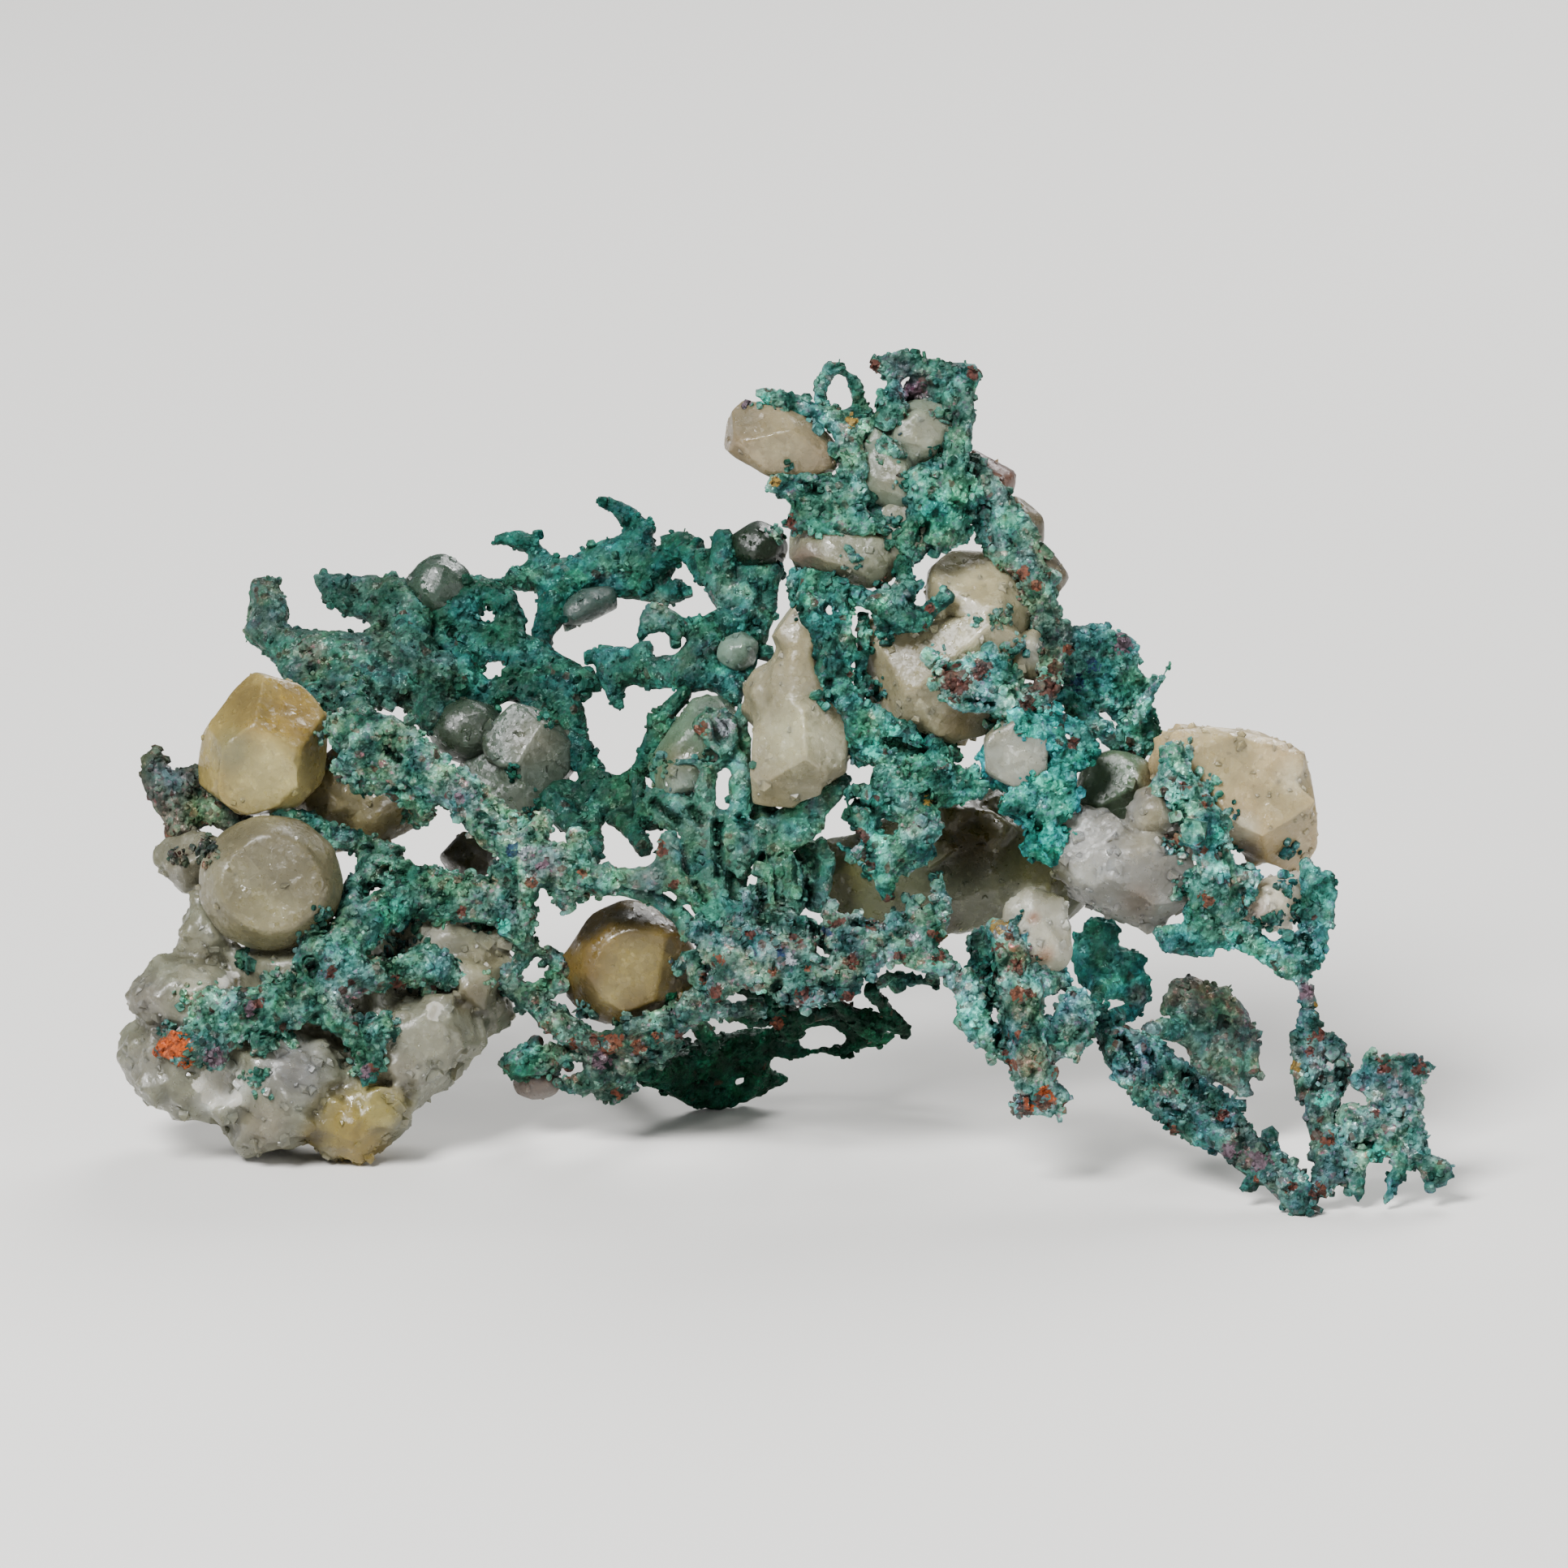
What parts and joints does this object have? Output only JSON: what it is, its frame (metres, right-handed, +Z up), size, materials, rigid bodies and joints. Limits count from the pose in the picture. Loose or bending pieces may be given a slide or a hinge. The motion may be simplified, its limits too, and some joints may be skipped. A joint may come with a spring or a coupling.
{
  "type": "native copper specimen",
  "caption": "Branching native copper grown around quartz grains, standing on its broad left lump, a twig at the rear and the tip of its front strand.",
  "frame": {"origin": "middle of the bounding box at the level that the feet rest on", "axes": "+X along the longest extent, to the right as pictured; +Y away from the viewer; +Z up"},
  "size_m": [0.0658, 0.0294, 0.0394],
  "materials": {
    "copper": "rough green and grey crust with bare metal crystals",
    "quartz_beige": "cloudy, glassy faces",
    "quartz_yellow": "cloudy, iron stained",
    "quartz_clear": "see-through, pitted",
    "quartz_brown": "see-through, brown stained",
    "quartz_grey": "grey, see-through"
  },
  "bodies": {
    "root": {"quartz_left_upper": "quartz_yellow", "quartz_left_round": "quartz_beige", "quartz_left_slab": "quartz_grey", "quartz_left_bed": "quartz_clear", "quartz_brown_round": "quartz_brown", "quartz_bottom_grey": "quartz_grey", "quartz_rear_pale": "quartz_clear", "quartz_rear_grey": "quartz_grey", "quartz_rear_dim": "quartz_grey", "quartz_rear_top": "quartz_grey", "quartz_ridge": "quartz_grey", "quartz_column_top": "quartz_grey", "quartz_column_side": "quartz_grey", "quartz_slanted": "quartz_beige", "quartz_centre_point": "quartz_beige", "quartz_centre_group": "quartz_beige", "quartz_hexagon": "quartz_clear", "quartz_crown_block": "quartz_beige", "quartz_crown_middle": "quartz_beige", "quartz_crown_low": "quartz_beige", "quartz_slope_upper": "quartz_grey", "quartz_slope_lower": "quartz_grey", "quartz_right_block": "quartz_yellow", "quartz_right_low": "quartz_clear", "quartz_right_grey": "quartz_grey", "quartz_right_clear": "quartz_clear", "quartz_rear_brown": "quartz_brown", "quartz_prong": "quartz_clear", "quartz_olive": "quartz_brown", "copper_crown_frame": "copper", "copper_crown_left": "copper", "copper_slope": "copper", "copper_centre_column": "copper", "copper_shoulder": "copper", "copper_red_patch": "copper", "copper_right_blob": "copper", "copper_centre_cluster": "copper", "copper_leaf_cluster": "copper", "copper_lower_centre": "copper", "copper_prongs": "copper", "copper_prong_trunk": "copper", "copper_rear_dark": "copper", "copper_chain": "copper", "copper_rear_piece": "copper", "copper_right_upper": "copper", "copper_right_edge": "copper", "copper_hanging": "copper", "copper_fist": "copper", "copper_left_branch": "copper", "copper_left_edge": "copper", "copper_bed": "copper", "copper_bottom_band": "copper", "copper_bottom_rear": "copper", "copper_rear_left": "copper", "copper_rear_middle": "copper", "copper_ridge": "copper", "copper_column": "copper", "copper_middle_left": "copper"}
  },
  "joints": []
}
